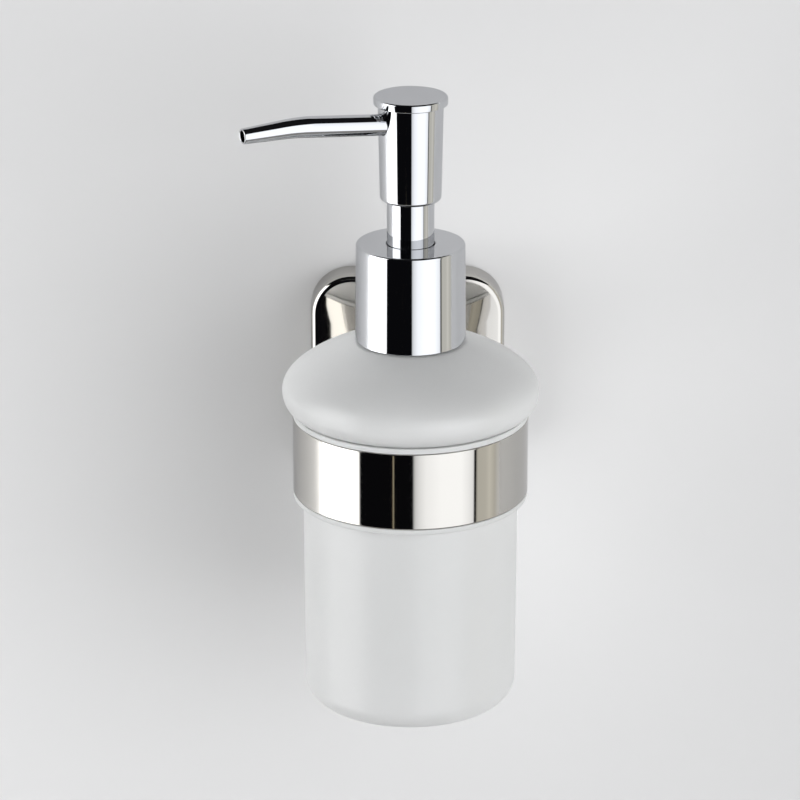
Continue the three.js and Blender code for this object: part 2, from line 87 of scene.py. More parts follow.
# Wall thicknesses and bores that a node's box doesn't tell
RING_BORE = 34.4
LINER_BORE = 33.25
LINER_WALL = 34.1
SLEEVE_BORE = 6.5
HEAD_BORE = 7.5
COLLAR_HOLE = 7.4
BARREL = 6.6
GLASS = 2.8  # the bottle's wall
BODY_LOW = 32.45  # the bottle's radius above its base corner
BODY_HIGH = 32.95  # and inside the ring
NECK_ROOT = 12.6
NECK_BORE = 10.2
THREAD_CREST = 13.6
THREAD_PITCH = 4.2
THREAD_TURNS = 1.5
THREAD_LOW = 46.5
GAP = 0.3  # between pieces that touch
ARM_SCREW_HOLE = 2.8
SET_SCREW_DEPTH = 6.5  # how far in front of the wall it stands
SET_SCREW_HOLE = 2.3
BRACKET_HEIGHT = 48
WALL_SCREW_SPACING = 30
RING_SCREW_HEIGHTS = (-6, 6)


# ---------- mesh helpers
def add_object(name, vertices, faces, smooth=True):
    mesh = bpy.data.meshes.new(name)
    mesh.from_pydata([tuple(v) for v in vertices], [], faces)
    mesh.validate()
    mesh.polygons.foreach_set("use_smooth", [smooth] * len(mesh.polygons))
    obj = bpy.data.objects.new(name, mesh)
    bpy.context.scene.collection.objects.link(obj)
    return obj


def rounded(corners, closed=False, step=12):
    """Points of an outline of (r, z, fillet) corners, each fillet an arc; a sharp corner is (r, z)."""
    count = len(corners)
    points = []
    for i, corner in enumerate(corners):
        here = Vector(corner[:2])
        fillet = corner[2] if len(corner) > 2 else 0
        if not fillet or (not closed and i in (0, count - 1)):
            points.append(here)
            continue
        before = Vector(corners[i - 1][:2]) - here
        after = Vector(corners[(i + 1) % count][:2]) - here
        half = before.angle(after) / 2
        reach = min(fillet / math.tan(half), 0.95 * before.length, 0.95 * after.length)
        radius = reach * math.tan(half)
        start = here + before.normalized() * reach
        end = here + after.normalized() * reach
        bisector = (before.normalized() + after.normalized()).normalized()
        centre = here + bisector * (radius / math.sin(half))
        turn = math.pi - 2 * half
        steps = max(2, math.ceil(math.degrees(turn) / step))
        a, b = start - centre, end - centre
        for k in range(steps + 1):
            share = k / steps
            weight_a = math.sin((1 - share) * turn) / math.sin(turn)
            weight_b = math.sin(share * turn) / math.sin(turn)
            points.append(centre + a * weight_a + b * weight_b)
    return points


def bezier(a, b, c, d, steps):
    """Points of a cubic curve from a to d."""
    a, b, c, d = (Vector(p) for p in (a, b, c, d))
    points = []
    for k in range(steps + 1):
        t = k / steps
        u = 1 - t
        points.append(a * u**3 + b * (3 * u * u * t) + c * (3 * u * t * t) + d * t**3)
    return points


def revolve(name, profile, segments, closed=False, shift=None, where=None):
    """Turns a profile in millimetres about the Z axis of where, which is the bottle's axis if not given.

    An open profile starts and ends on the axis. shift(r, z, angle) may change a point's radius.
    """
    where = where or Matrix.Translation(AXIS)
    vertices, faces, rings = [], [], []
    for r, z in profile:
        if r < 1e-6:
            rings.append([len(vertices)])
            vertices.append(where @ Vector((0, 0, z * MM)))
            continue
        ring = []
        for k in range(segments):
            angle = 2 * math.pi * k / segments
            radius = (shift(r, z, angle) if shift else r) * MM
            ring.append(len(vertices))
            vertices.append(where @ Vector((radius * math.cos(angle), radius * math.sin(angle), z * MM)))
        rings.append(ring)
    pairs = list(zip(rings, rings[1:]))
    if closed:
        pairs.append((rings[-1], rings[0]))
    for low, high in pairs:
        for k in range(segments):
            n = (k + 1) % segments
            if len(low) == 1:
                faces.append((low[0], high[n], high[k]))
            elif len(high) == 1:
                faces.append((low[k], low[n], high[0]))
            else:
                faces.append((low[k], low[n], high[n], high[k]))
    return add_object(name, vertices, faces)


def hollow(name, corners, segments):
    """A ring or tube: its closed section of (r, z, fillet) corners, turned about the bottle's axis."""
    return revolve(name, rounded(corners, closed=True), segments, closed=True)


def sweep(name, path, stations, segments, closed=False):
    """Rings of (distance, radius) stations along path(distance), which gives a point, a tangent and a side.

    Distances and radii are in millimetres. A closed sweep joins its last ring to its first; an open one is
    capped at both ends.
    """
    vertices, faces = [], []
    for distance, radius in stations:
        point, tangent, side = path(distance)
        up = side.cross(tangent)
        for k in range(segments):
            angle = 2 * math.pi * k / segments
            offset = side * math.cos(angle) + up * math.sin(angle)
            vertices.append((point + offset * radius) * MM)
    count = len(stations)
    for i in range(count if closed else count - 1):
        a, b = i * segments, (i + 1) % count * segments
        for k in range(segments):
            n = (k + 1) % segments
            faces.append((a + k, b + k, b + n, a + n))
    if not closed:
        last = (count - 1) * segments
        faces.append(tuple(range(segments)))
        faces.append(tuple(last + k for k in reversed(range(segments))))
    return add_object(name, vertices, faces)


def evaluated_mesh(obj):
    """The mesh as its modifiers leave it."""
    bpy.context.view_layer.update()
    graph = bpy.context.evaluated_depsgraph_get()
    return bpy.data.meshes.new_from_object(obj.evaluated_get(graph))


def boolean(obj, *cutters, operation="DIFFERENCE"):
    """Cuts obj with the cutters, or joins them to it, and removes them."""
    for cutter in cutters:
        modifier = obj.modifiers.new("boolean", "BOOLEAN")
        modifier.object = cutter
        modifier.operation = operation
        modifier.solver = "EXACT"
    mesh = evaluated_mesh(obj)
    obj.modifiers.clear()
    obj.data = mesh
    for cutter in cutters:
        bpy.data.objects.remove(cutter)
    return obj


def extrude(name, corners, low, high, where):
    """A straight cutter whose outline is these (x, y) corners, counterclockwise, from low to high."""
    count = len(corners)
    vertices = [where @ (Vector((x, y, z)) * MM) for z in (low, high) for x, y in corners]
    faces = [tuple(reversed(range(count))), tuple(range(count, 2 * count))]
    faces += [(k, (k + 1) % count, count + (k + 1) % count, count + k) for k in range(count)]
    return add_object(name, vertices, faces, smooth=False)


def prism(name, sides, radius, low, high, where):
    """A cutter with a regular outline, for sockets and round holes."""
    angles = [2 * math.pi * (k + 0.5) / sides for k in range(sides)]
    corners = [(radius * math.cos(angle), radius * math.sin(angle)) for angle in angles]
    return extrude(name, corners, low, high, where)


def slab(name, size, where):
    """A box-shaped cutter of size (x, y, z) in millimetres."""
    x, y, z = (side / 2 for side in size)
    return extrude(name, [(-x, -y), (x, -y), (x, y), (-x, y)], -z, z, where)


def ridge(z, angle, low, pitch, turns, width, height):
    """Height of a screw thread over its root, at that place on a revolved surface."""
    for turn in range(math.ceil(turns) + 1):
        along = angle / (2 * math.pi) + turn
        offset = abs(z - low - pitch * along)
        if offset < width and along <= turns:
            lead = min(1, along * 4, (turns - along) * 4)  # a quarter turn of run-in at each end
            return height * lead * min(1, 1.6 * (1 - offset / width))
    return 0


def raised_thread(root, crest, low, pitch, turns, width):
    """A shift for revolve() that raises a thread wherever the profile is at its root radius."""

    def shift(r, z, angle):
        if abs(r - root) > 1e-3:
            return r
        return r + ridge(z, angle, low, pitch, turns, width, crest - root)

    return shift


def levels(low, high, step):
    """Heights from low to high, about a step apart, without the last one."""
    count = max(1, round((high - low) / step))
    return [low + (high - low) * k / count for k in range(count)]


def along_y(x, y, z):
    """The frame of a piece that is turned along +Y from that point, in millimetres."""
    return Matrix.Translation(Vector((x, y, z)) * MM) @ Matrix.Rotation(math.radians(-90), 4, "X")


DISPENSER = bpy.data.collections.new("dispenser")  # every visible piece, for the lights on it alone


def place(obj, body, node, material, edge=0):
    """Puts a finished piece on its body in place of its CAD node, its edges rounded by edge millimetres."""
    if edge:
        bevel = obj.modifiers.new("edges", "BEVEL")
        bevel.width = edge * MM
        bevel.segments = 2
        bevel.limit_method = "ANGLE"
        bevel.angle_limit = math.radians(40)
    obj.data.set_sharp_from_angle(angle=math.radians(38))
    normals = obj.modifiers.new("flat_faces", "WEIGHTED_NORMAL")
    normals.mode = "FACE_AREA"
    normals.keep_sharp = True
    obj.data.materials.clear()
    obj.data.materials.append(material)
    DISPENSER.objects.link(obj)
    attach(obj, body)
    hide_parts(node)
    return obj


# ---------- materials
def new_material(name, color, roughness, metallic=0.0):
    material = bpy.data.materials.new(name)
    material.use_nodes = True
    shader = material.node_tree.nodes["Principled BSDF"]
    shader.inputs["Base Color"].default_value = (*color, 1)
    shader.inputs["Roughness"].default_value = roughness
    shader.inputs["Metallic"].default_value = metallic
    return material, material.node_tree, shader


NOISE_LOW = 0.3  # between these lie nearly all values of a noise
NOISE_HIGH = 0.7


def noise(tree, scale, detail, stretch=(1, 1, 1)):
    """Noise over the object's own coordinates; stretch scales each axis before the noise."""
    coordinates = tree.nodes.new("ShaderNodeTexCoord")
    mapping = tree.nodes.new("ShaderNodeMapping")
    mapping.inputs["Scale"].default_value = stretch
    texture = tree.nodes.new("ShaderNodeTexNoise")
    texture.inputs["Scale"].default_value = scale
    texture.inputs["Detail"].default_value = detail
    tree.links.new(coordinates.outputs["Object"], mapping.inputs["Vector"])
    tree.links.new(mapping.outputs["Vector"], texture.inputs["Vector"])
    return texture.outputs["Fac"]


def spread(tree, value, low, high):
    """Maps a noise value from its usual range to low..high."""
    node = tree.nodes.new("ShaderNodeMapRange")
    node.inputs["From Min"].default_value = NOISE_LOW
    node.inputs["From Max"].default_value = NOISE_HIGH
    node.inputs["To Min"].default_value = low
    node.inputs["To Max"].default_value = high
    tree.links.new(value, node.inputs["Value"])
    return node.outputs["Result"]


def maths(tree, operation, *values):
    """A maths node on sockets or plain numbers."""
    node = tree.nodes.new("ShaderNodeMath")
    node.operation = operation
    for socket, value in zip(node.inputs, values):
        if isinstance(value, (int, float)):
            socket.default_value = value
        else:
            tree.links.new(value, socket)
    return node.outputs["Value"]


def ramp(tree, value, stops):
    """Colours by value: stops are (position, colour) in order."""
    node = tree.nodes.new("ShaderNodeValToRGB")
    elements = node.color_ramp.elements
    elements[0].position, elements[1].position = stops[0][0], stops[-1][0]
    for position, color in stops[1:-1]:
        elements.new(position)
    for element, (position, color) in zip(elements, stops):
        element.color = (*color, 1)
    tree.links.new(value, node.inputs["Fac"])
    return node.outputs["Color"]


def bump(tree, shader, height, distance, strength=1.0):
    """distance is the height of the bumps in millimetres."""
    node = tree.nodes.new("ShaderNodeBump")
    node.inputs["Strength"].default_value = strength
    node.inputs["Distance"].default_value = distance * MM
    tree.links.new(height, node.inputs["Height"])
    tree.links.new(node.outputs["Normal"], shader.inputs["Normal"])


def tint(tree, shader, value, dark, light):
    """Base colour that drifts between two close shades."""
    color = ramp(tree, value, ((NOISE_LOW, dark), (NOISE_HIGH, light)))
    tree.links.new(color, shader.inputs["Base Color"])


def plated(name, dark, light, smooth, smeared, grain, ripple):
    """Polished plate: faint smears in the gloss, polishing lines and the slow ripple of buffed metal."""
    material, tree, shader = new_material(name, light, smooth, 1.0)
    smears = spread(tree, noise(tree, 55, 4), smooth, smeared)
    lines = spread(tree, noise(tree, 40, 2, (1, 1, 60)), 0, grain)
    tree.links.new(maths(tree, "ADD", smears, lines), shader.inputs["Roughness"])
    tint(tree, shader, noise(tree, 25, 2), dark, light)
    bump(tree, shader, noise(tree, 70, 1), ripple)
    shader.inputs["Specular Tint"].default_value = (0.76, 0.76, 0.77, 1)  # dims it near grazing angles
    return material


def chrome_plate():
    return plated("chrome", (0.6, 0.61, 0.63), (0.625, 0.635, 0.65), 0.025, 0.05, 0.012, 0.002)


def nickel_plate():
    return plated("nickel", (0.565, 0.55, 0.52), (0.585, 0.57, 0.54), 0.025, 0.055, 0.02, 0.003)


def etched_glass():
    """Satin glass: most light scatters in the etched skin, some passes through softly."""
    material, tree, shader = new_material("frosted_glass", (0.9, 0.91, 0.905), 0.45)
    shader.inputs["IOR"].default_value = 1.5
    shader.inputs["Specular IOR Level"].default_value = 0.62
    shader.inputs["Transmission Weight"].default_value = 0.28
    shader.inputs["Subsurface Weight"].default_value = 0.25
    shader.inputs["Subsurface Radius"].default_value = (1.0, 1.0, 1.0)
    shader.inputs["Subsurface Scale"].default_value = 4 * MM
    tint(tree, shader, noise(tree, 30, 3), (0.885, 0.895, 0.89), (0.915, 0.922, 0.92))
    tree.links.new(spread(tree, noise(tree, 220, 4), 0.295, 0.35), shader.inputs["Roughness"])
    bump(tree, shader, noise(tree, 900, 2), 0.0015, 0.5)
    return material


def clear_plastic():
    material, tree, shader = new_material("clear_plastic", (0.8, 0.81, 0.805), 0.4)
    shader.inputs["IOR"].default_value = 1.45
    shader.inputs["Transmission Weight"].default_value = 0.2
    tree.links.new(spread(tree, noise(tree, 300, 3), 0.36, 0.46), shader.inputs["Roughness"])
    tint(tree, shader, noise(tree, 60, 2), (0.78, 0.79, 0.785), (0.82, 0.83, 0.825))
    bump(tree, shader, noise(tree, 500, 2), 0.002, 0.5)
    return material


def moulded(name, dark, light, low, high, grain):
    """Moulded plastic: a fine grain, and gloss and colour that vary a little with the mould's flow."""
    material, tree, shader = new_material(name, light, high)
    tint(tree, shader, noise(tree, 90, 3), dark, light)
    tree.links.new(spread(tree, noise(tree, 260, 4), low, high), shader.inputs["Roughness"])
    bump(tree, shader, noise(tree, 1800, 2), grain, 0.7)
    return material


def bright_steel():
    """Turned or drawn steel: fine lines along the work and a patchy sheen."""
    material, tree, shader = new_material("steel", (0.55, 0.56, 0.57), 0.3, 1.0)
    tint(tree, shader, noise(tree, 200, 4), (0.46, 0.47, 0.48), (0.6, 0.61, 0.62))
    lines = noise(tree, 300, 3, (8, 1, 8))
    tree.links.new(spread(tree, lines, 0.29, 0.42), shader.inputs["Roughness"])
    bump(tree, shader, lines, 0.01, 0.6)
    return material


def zinc_casting():
    """Bare die casting: grey, dull, slightly pebbled, darker in patches."""
    material, tree, shader = new_material("zinc_casting", (0.42, 0.43, 0.45), 0.5, 0.9)
    tint(tree, shader, noise(tree, 120, 5), (0.3, 0.31, 0.33), (0.47, 0.48, 0.5))
    tree.links.new(spread(tree, noise(tree, 400, 4), 0.38, 0.62), shader.inputs["Roughness"])
    bump(tree, shader, noise(tree, 900, 3), 0.04, 0.8)
    return material


CHROME = chrome_plate()
NICKEL = nickel_plate()
GLASS_SKIN = etched_glass()
CLEAR = clear_plastic()
WHITE = moulded("white_plastic", (0.80, 0.80, 0.785), (0.86, 0.86, 0.85), 0.32, 0.48, 0.012)
NYLON = moulded("grey_plastic", (0.30, 0.315, 0.325), (0.38, 0.39, 0.4), 0.45, 0.6, 0.03)
SOFT = moulded("seal", (0.66, 0.64, 0.6), (0.74, 0.72, 0.68), 0.6, 0.8, 0.03)
STEEL = bright_steel()
ZINC = zinc_casting()


# ---------- wall plate and arm
def plate_ring(width, height, corner, y):
    """A rounded rectangle's points, counterclockwise seen from the front, at depth y."""
    arc_steps, side_steps = 14, 6
    centres = ((1, 1, 0), (-1, 1, 90), (-1, -1, 180), (1, -1, 270))
    corners = []
    for sx, sz, start in centres:
        cx, cz = sx * (width / 2 - corner), sz * (height / 2 - corner)
        for k in range(arc_steps + 1):
            angle = math.radians(start + 90 * k / arc_steps)
            corners.append(Vector((cx + corner * math.cos(angle), y, cz + corner * math.sin(angle))))
    points = []
    for i, here in enumerate(corners):
        points.append(here)
        if i % (arc_steps + 1) == arc_steps:
            ahead = corners[(i + 1) % len(corners)]
            points += [here.lerp(ahead, k / side_steps) for k in range(1, side_steps)]
    return points


def loft(name, rings):
    """Joins each ring of points, in millimetres, to the next, and closes the first and the last."""
    count = len(rings[0])
    vertices = [p * MM for ring in rings for p in ring]
    faces = []
    for i in range(len(rings) - 1):
        a, b = i * count, (i + 1) * count
        for k in range(count):
            n = (k + 1) % count
            faces.append((a + k, a + n, b + n, b + k))
    for first, turned in ((0, True), ((len(rings) - 1) * count, False)):
        middle = len(vertices)
        vertices.append(sum((vertices[first + k] for k in range(count)), Vector()) / count)
        for k in range(count):
            pair = (first + k, first + (k + 1) % count)
            faces.append((middle, *(pair[::-1] if turned else pair)))
    return add_object(name, vertices, faces)


def make_plate_cover():
    """Hollow rose: straight sides, a soft edge and a front that crowns slightly towards its middle."""
    low, high = (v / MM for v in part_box("plate_cover"))
    width, height, depth = high.x - low.x, high.z - low.z, high.y - low.y
    corner, edge, crown, wall, rim = 13, 2.4, 1.0, 1.8, 0.3

    def outline(inset, y):
        return plate_ring(width - 2 * inset, height - 2 * inset, corner - inset, y)

    side_end = -(depth - crown - edge)
    outer = [outline(rim, 0)] + [outline(0, y) for y in (-rim, side_end * 0.5, side_end)]
    sweep_angle, steps, fronts = 86, 10, 16
    for k in range(1, steps + 1):
        angle = math.radians(sweep_angle * k / steps)
        outer.append(outline(edge * (1 - math.cos(angle)), side_end - edge * math.sin(angle)))
    front = outer[-1]
    for k in range(1, fronts):
        scale = 1 - k / fronts
        rise = crown * (1 - scale**2)
        outer.append([Vector((p.x * scale, p.y - rise, p.z * scale)) for p in front])
    floor = wall - depth
    steps_back = ((wall + 2.6, floor), (wall + 0.6, floor + 2), (wall, floor + 4), (wall, 0))
    inner = [outline(inset, y) for inset, y in steps_back]
    cover = loft("rose", inner + outer)  # from the inside's floor round the open rim to the front
    arm_hole = prism("hole", 32, ARM_SCREW_HOLE, -depth - 3, floor + 3, along_y(0, 0, 0))
    set_screw_line = Matrix.Translation((0, -SET_SCREW_DEPTH * MM, 0))
    socket = prism("hole", 32, SET_SCREW_HOLE, -height, -BRACKET_HEIGHT / 2, set_screw_line)
    return boolean(cover, arm_hole, socket)


def make_bracket():
    """Plate with a lip turned forward at the top and bottom, and two screw holes."""
    low, high = (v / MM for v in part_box("wall_bracket"))
    width, height, reach = high.x - low.x, high.z - low.z, high.y - low.y
    thickness, corner, edge, hole, overlap = 2.6, 5, 0.3, 2.4, 0.1
    rings = []
    for y, inset in ((0, edge), (-edge, 0), (edge - thickness, 0), (-thickness, edge)):
        rings.append(plate_ring(width - 2 * inset, height - 2 * inset, corner - inset, y))
    bracket = loft("bracket", rings)
    for side in (-1, 1):
        middle = Vector((0, -(reach + overlap) / 2, side * (height - thickness) / 2)) * MM
        size = (width - 4 * corner, reach - overlap, thickness - overlap)
        boolean(bracket, slab("lip", size, Matrix.Translation(middle)), operation="UNION")
    heights = (-WALL_SCREW_SPACING / 2, WALL_SCREW_SPACING / 2)
    return boolean(bracket, *[prism("hole", 32, hole, -10, 10, along_y(0, 0, z)) for z in heights])


def cross_recess(size, depth, where):
    """A cutter for the cross in a screw's head, as deep below the head's face as it stands above it."""
    arm, side = size / 2, size / 8
    corners = []
    for x, y in ((1, 0), (0, 1), (-1, 0), (0, -1)):
        for along, across in ((arm, -side), (arm, side), (side, side)):
            corners.append((x * along - y * across, y * along + x * across))
    return extrude("recess", corners, -depth, depth, where)


def make_wall_screw(node):
    """Pan head with a cross recess, and a coarse thread down to the point."""
    low, high = (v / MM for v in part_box(node))
    middle = (low + high) / 2
    head, head_height, core, crest, point, shank, pitch = 3.9, 2.6, 1.35, 1.9, 3, 3, 2.4
    length = high.y - low.y - head_height - point
    where = along_y(middle.x, low.y + head_height, middle.z)
    profile = rounded([(0, -head_height), (head, -head_height, 1.6), (head, 0, 0.3), (crest, 0)])
    profile += [(crest, shank)] + [(core, z) for z in levels(shank + 0.4, length, 0.25)]
    profile += [(core, length), (0, length + point)]
    turns = (length - shank - 1.5) / pitch
    thread = raised_thread(core, crest, shank + 1, pitch, turns, 0.7)
    screw = revolve("wall_screw", profile, segments=32, shift=thread, where=where)
    return boolean(screw, cross_recess(4, 1.4, where @ Matrix.Translation((0, 0, -head_height * MM))))


def make_wall_plug(node):
    """Nylon plug: a collar, sawtooth ribs and a slot that lets it spread."""
    low, high = (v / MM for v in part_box(node))
    middle = (low + high) / 2
    bore, outer, collar, rib, slot, slot_low = 2.2, 3.0, 3.6, 2.2, 0.8, 8
    length = high.y - low.y
    where = along_y(middle.x, low.y, middle.z)
    profile = [(bore, 0), (collar - 0.2, 0), (collar, 0.2), (collar, 0.8), (outer, 0.9), (outer, 5)]
    for z in levels(5, length - 3, rib):
        profile += [(outer - 0.35, z + 0.1), (outer, z + rib - 0.1)]
    profile += [(outer - 0.2, length - 2.5), (outer - 0.5, length), (bore, length)]
    plug = revolve("wall_plug", profile, closed=True, segments=40, where=where)
    slot_length = length - slot_low
    slot_middle = where @ Matrix.Translation((0, 0, (slot_low + slot_length / 2 + 0.5) * MM))
    return boolean(plug, slab("slot", (3 * collar, slot, slot_length), slot_middle))


def make_set_screw():
    """Threaded pin with a hexagon socket at its lower end."""
    low, high = (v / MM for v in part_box("set_screw"))
    middle = (low + high) / 2
    core, crest = 1.8, 2.0
    where = Matrix.Translation((middle.x * MM, middle.y * MM, 0))
    profile = [(0, low.z), (core - 0.3, low.z), (core, low.z + 0.3)]
    profile += [(core, z) for z in levels(low.z + 0.5, high.z - 0.6, 0.12)]
    profile += [(core, high.z - 0.6), (1, high.z), (0, high.z)]
    thread = raised_thread(core, crest, low.z + 0.4, 0.7, 11, 0.3)
    pin = revolve("set_screw_pin", profile, segments=32, shift=thread, where=where)
    return boolean(pin, prism("socket", 6, 1.2, low.z - 1, low.z + 2, where))


def make_arm():
    """Short block with softened long edges, hollowed to the ring's curve and bored for the screws."""
    low, high = (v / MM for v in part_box("holder_arm"))
    width, height = high.x - low.x, high.z - low.z
    corner, edge, waist, front = 4, 0.5, 0.7, low.y - 3
    rings = [plate_ring(width - 2 * edge, height - 2 * edge, corner - edge, high.y)]
    for k in range(9):
        share = k / 8
        inset = waist * math.sin(math.pi * min(1, share * 1.1)) ** 2
        y = high.y - edge + (front - high.y + edge) * share
        rings.append(plate_ring(width - 2 * inset, height - 2 * inset, corner, y))
    arm = loft("arm", rings)
    ring_space = prism("space", 160, RING.radius + GAP, -height, height, Matrix.Translation(AXIS))
    rear_bore = prism("bore", 32, ARM_SCREW_HOLE, -10.5, 5, along_y(0, high.y, 0))
    ring_face = AXIS.y / MM + RING.radius
    bores = [prism("bore", 32, 1.9, -5, 3.8, along_y(0, ring_face, z)) for z in RING_SCREW_HEIGHTS]
    return boolean(arm, ring_space, rear_bore, *bores)


def make_arm_screw():
    """Cap screw with a hexagon socket; its head lies inside the cover."""
    low, high = (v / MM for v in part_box("arm_screw"))
    head, head_height, core, crest, thread_length = 4.5, 2.9, 2.2, 2.5, 10
    head_low = high.y - head_height
    where = along_y(0, head_low, 0)
    end = low.y - head_low
    profile = [(0, end), (core - 0.4, end), (core, end + 0.4)]
    profile += [(core, z) for z in levels(end + 0.6, end + thread_length, 0.16)]
    profile += [(crest, end + thread_length), (crest, 0)]
    profile += rounded([(crest, 0), (head, 0, 0.2), (head, head_height, 0.5), (0, head_height)])[1:]
    thread = raised_thread(core, crest, end + 0.4, 0.8, 12, 0.36)
    screw = revolve("cap_screw", profile, segments=40, shift=thread, where=where)
    return boolean(screw, prism("socket", 6, 2, head_height - 2, head_height + 2, where))


def make_ring_screw(node):
    """Countersunk screw, flush with the inside of the ring and driven into the arm."""
    low, high = (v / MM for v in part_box(node))
    middle = (low + high) / 2
    head, core, crest = 3, 1.3, 1.6
    where = along_y(middle.x, low.y, middle.z)
    length = high.y - low.y
    sink = head - crest
    profile = [(0, 0), (head - 0.05, 0), (head, 0.1), (crest, sink)]
    profile += [(core, z) for z in levels(sink + 0.1, length - 0.4, 0.12)]
    profile += [(core, length - 0.4), (core - 0.3, length), (0, length)]
    thread = raised_thread(core, crest, sink + 0.2, 0.5, 5.5, 0.24)
    screw = revolve("ring_screw", profile, segments=32, shift=thread, where=where)
    return boolean(screw, cross_recess(2.6, 0.7, where))


# ---------- ring, liner and bottle
def make_ring():
    """Polished band with softened edges and two countersunk holes at the back."""
    corners = [(RING_BORE, RING.low, 0.25), (RING.radius, RING.low, 0.4)]
    corners += [(RING.radius, RING.high, 0.4), (RING_BORE, RING.high, 0.25)]
    band = hollow("band", corners, 240)
    sunk, mouth, hole = [], 4.3, 1.95
    for z in RING_SCREW_HEIGHTS:
        where = along_y(0, AXIS.y / MM, z) @ Matrix.Rotation(math.radians(5), 4, "Z")
        profile = [(0, RING_BORE - 1), (mouth, RING_BORE - 1), (hole, RING_BORE + 1.35)]
        profile += [(hole, RING.radius + 1), (0, RING.radius + 1)]
        sunk.append(revolve("sink", profile, segments=32, where=where))
    return boolean(band, *sunk)


def make_liner():
    """Thin sleeve with a lip above the ring and one below it."""
    near, far = RING.high + 0.08, LINER.high + 0.22  # closer to the ring and bottle than the CAD's gaps
    half = [(LINER_BORE, -far, 0.3), (LINER.radius, -far, 0.4), (LINER.radius, -near, 0.15)]
    half += [(LINER_WALL, -near, 0.1)]
    return hollow("liner", half + [(r, -z, fillet) for r, z, fillet in reversed(half)], 160)


def bottle_profile():
    """Outside from the base up to the mouth, then the inside back down to the floor."""
    bottom, rim, rim_height, mouth = BOTTLE.low, BOTTLE.radius, 20.4, BOTTLE.high
    base, seat, foot = 7, 13.8, BODY_LOW - 7
    outside = bezier((0, bottom + 1.6), (9, bottom + 1.6), (foot - 7, bottom), (foot, bottom), 10)
    for k in range(1, 15):
        angle = math.radians(-90 + 90 * k / 14)
        outside.append((foot + base * math.cos(angle), bottom + base * (1 + math.sin(angle))))
    side_low, side_high = Vector((BODY_LOW, bottom + base)), Vector((BODY_HIGH, seat - 1))
    outside += [side_low.lerp(side_high, k / 8) for k in range(1, 9)]
    bend = (BODY_HIGH, seat - 0.4), (BODY_HIGH + 0.2, seat + 0.05), (BODY_HIGH + 0.7, seat)
    outside += bezier(*bend, (34.6, seat + 0.1), 5)
    outside += bezier((35, seat + 0.2), (rim - 1.2, seat + 1), (rim, rim_height - 3), (rim, rim_height), 14)
    outside += bezier((rim, rim_height), (rim, rim_height + 6.5), (26, 32.4), (17, 35.9), 36)[1:]
    outside += [(15.5, 36.05), (NECK_ROOT + 1, 36.1), (NECK_ROOT + 0.3, 36.4), (NECK_ROOT, 36.9)]
    outside += [(NECK_ROOT, z) for z in levels(37.2, mouth - 1, 0.3)]
    lip = [(NECK_ROOT, mouth - 1), (NECK_ROOT, mouth, 0.5), (NECK_BORE, mouth, 0.5), (NECK_BORE, 36.5)]
    outside += rounded(lip)
    wall, inner_high, inner_low, floor = rim - GLASS, BODY_HIGH - GLASS, BODY_LOW - GLASS, bottom + 5.5
    inside = bezier((NECK_BORE, 36), (NECK_BORE + 0.2, 35), (11, 34.4), (13, 33.6), 5)
    inside += bezier((16, 32.8), (24.5, 29.6), (wall, rim_height + 5.4), (wall, rim_height), 16)
    bend = (wall, rim_height - 0.5), (wall, rim_height - 3.5), (inner_high + 0.4, 16.5)
    inside += bezier(*bend, (inner_high, seat - 1), 8)
    inside += rounded([(inner_high, 12), (inner_low, floor, 5), (0, floor)], step=9)
    return outside + inside


def make_bottle():
    thread = raised_thread(NECK_ROOT, THREAD_CREST, THREAD_LOW, THREAD_PITCH, THREAD_TURNS, 1.5)
    return revolve("bottle_glass", bottle_profile(), segments=192, shift=thread)


# ---------- closure
def make_collar():
    """Thin drawn shell, its side widening slightly downwards, with a small edge round its flat top."""
    wall, roof, high = 0.9, 1.2, 16.5
    corners = [
        (COLLAR_HOLE, COLLAR.high - roof),
        (high - wall, COLLAR.high - roof, 0.4),
        (COLLAR.radius - wall, COLLAR.low, 0.2),
        (COLLAR.radius, COLLAR.low, 0.25),
        (high, COLLAR.high, 0.75),
        (COLLAR_HOLE, COLLAR.high, 0.2),
    ]
    return hollow("collar_shell", corners, 192)


def make_insert():
    """Threaded cap pressed into the collar; its ridge stays clear of the neck's thread crest."""
    bore, roof, hole, thread_top = 14.1, SLEEVE.low, 7.65, 57
    turns, ridge_width, ridge_height = 3.5, 1.2, 0.3
    profile = [(bore + 0.4, INSERT.low), (INSERT.radius, INSERT.low), (INSERT.radius, INSERT.high)]
    profile += [(hole, INSERT.high), (hole, roof), (bore, roof)]
    profile += [(bore, z) for z in reversed(levels(INSERT.low + 0.6, roof - 0.3, 0.3))]

    def thread(r, z, angle):
        if r != bore or z > thread_top:
            return r
        return r - ridge(z, angle, INSERT.low + 3, THREAD_PITCH, turns, ridge_width, ridge_height)

    return revolve("threaded_cap", profile, closed=True, segments=96, shift=thread)


def plain_tube(name, extent, bore, fillet, segments):
    """A plain tube or washer in its node's place, with its four edges rounded."""
    low, high, radius = extent.low, extent.high, extent.radius
    corners = [(bore, low), (radius, low), (radius, high), (bore, high)]
    return hollow(name, [(r, z, fillet) for r, z in corners], segments)


def make_gasket():
    return plain_tube("gasket_washer", GASKET, 10.4, 0.3, 96)


def make_sleeve():
    return plain_tube("sleeve_tube", SLEEVE, SLEEVE_BORE, 0.22, 128)


